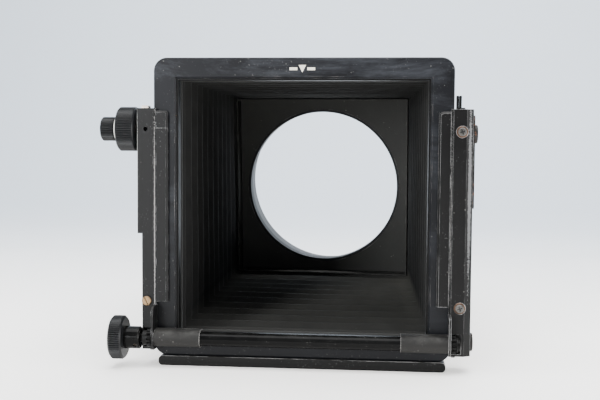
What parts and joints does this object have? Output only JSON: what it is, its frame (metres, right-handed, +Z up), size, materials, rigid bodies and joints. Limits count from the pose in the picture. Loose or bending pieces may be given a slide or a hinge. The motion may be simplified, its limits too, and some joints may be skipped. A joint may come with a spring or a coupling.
{
  "type": "large format view camera",
  "caption": "Square-fronted bellows camera body: open front frame with a geared rising carriage, tapered pleated bellows and a tilted rear frame with a round collar.",
  "frame": {"origin": "middle of the underside of the base bar under the front frame, on the table", "axes": "+X right seen from the open front, +Y along the bellows from the open front frame to the rear frame, +Z up"},
  "size_m": [0.2267, 0.3282, 0.1891],
  "materials": {
    "black_enamel": "worn semi-gloss black enamel on aluminium",
    "black_anodised": "worn satin black anodised",
    "grey_metal": "worn matt grey-black",
    "black_steel": "glossy black",
    "worn_steel": "dull, with a little rust",
    "plated_steel": "worn plating",
    "brass": "aged",
    "black_knob": "matt black, worn on the knurl",
    "bellows_cloth": "dull black coated cloth",
    "cream_fill": "cream paint fill",
    "white_plastic": "off-white"
  },
  "bodies": {
    "front_standard": {"front_frame": "black_enamel", "centre_mark": "cream_fill", "base_bar": "black_anodised", "base_bar_screws": "black_steel", "left_rack": "black_steel", "right_rack": "black_steel", "rack_screws": "plated_steel", "bellows_front_liner": "black_anodised", "bellows": "bellows_cloth"},
    "carriage": {"left_upright": "black_anodised", "right_upright": "black_anodised", "left_guide_strip": "black_anodised", "right_guide_strip": "black_anodised", "left_strip_end": "black_anodised", "left_gib": "black_anodised", "right_gib": "black_anodised", "gib_screws": "black_steel", "slotted_screw": "brass", "cross_head_screws": "plated_steel", "cup_washers": "brass", "side_strap": "worn_steel", "upper_side_screw": "worn_steel", "lower_side_screw": "worn_steel", "stop_post": "worn_steel", "stop_stub": "black_anodised", "left_bracket": "black_anodised", "right_bracket": "black_anodised", "left_shaft_cover": "grey_metal", "right_shaft_cover": "grey_metal", "clamp_bush": "black_steel"},
    "drive_shaft": {"cross_shaft": "black_steel", "left_pinion": "black_steel", "right_pinion": "black_steel", "shaft_sleeve": "black_steel", "shaft_end_clip": "plated_steel", "knob_hub": "black_steel", "hub_set_screw": "plated_steel", "drive_knob": "black_knob"},
    "clamp_pad": {"clamp_shoe": "brass"},
    "clamp_screw": {"clamp_spindle": "plated_steel", "clamp_knob": "black_knob"},
    "clamp_lock": {"lock_knob": "black_knob", "lock_washer": "white_plastic", "lock_screw": "plated_steel"},
    "rear_standard": {"rear_frame": "black_enamel", "bellows_rear_liner": "black_anodised", "lens_board": "black_enamel", "lens_ring": "grey_metal", "ring_screws": "plated_steel", "board_ledge": "worn_steel", "ledge_screws": "plated_steel", "latch_screws": "plated_steel", "rear_foot": "black_anodised", "foot_screws": "black_steel"},
    "latch": {"board_latch": "worn_steel"}
  },
  "joints": [
    {"name": "carriage_rise", "type": "slide", "parent": "front_standard", "child": "carriage", "axis": [0, 0, 1], "range_m": [0, 0.028]},
    {"name": "shaft_turn", "type": "hinge", "parent": "carriage", "child": "drive_shaft", "pos_m": [0, -0.013, 0.0177], "axis": [1, 0, 0], "range_deg": [-366, 0]},
    {"name": "clamp_turn", "type": "hinge", "parent": "clamp_pad", "child": "clamp_screw", "pos_m": [-0.1, -0.00235, 0.144], "axis": [1, 0, 0], "range_deg": [0, 330]},
    {"name": "clamp_travel", "type": "slide", "parent": "carriage", "child": "clamp_pad", "axis": [1, 0, 0], "range_m": [-0.001, 0]},
    {"name": "lock_turn", "type": "hinge", "parent": "clamp_screw", "child": "clamp_lock", "pos_m": [-0.118, -0.00235, 0.144], "axis": [1, 0, 0], "range_deg": [0, 180]},
    {"name": "bellows_extension", "type": "slide", "parent": "front_standard", "child": "rear_standard", "axis": [0, 1, 0], "range_m": [-0.15, 0], "deforming": ["bellows"]},
    {"name": "latch_slide", "type": "slide", "parent": "rear_standard", "child": "latch", "axis": [-0.0049, -0.0626, 0.998], "range_m": [0, 0.004]}
  ],
  "couplings": [
    {"joint": "shaft_turn", "follows": "carriage_rise", "rad_per_m": -227.27},
    {"joint": "clamp_travel", "follows": "clamp_turn", "m_per_rad": -0.00015915}
  ]
}
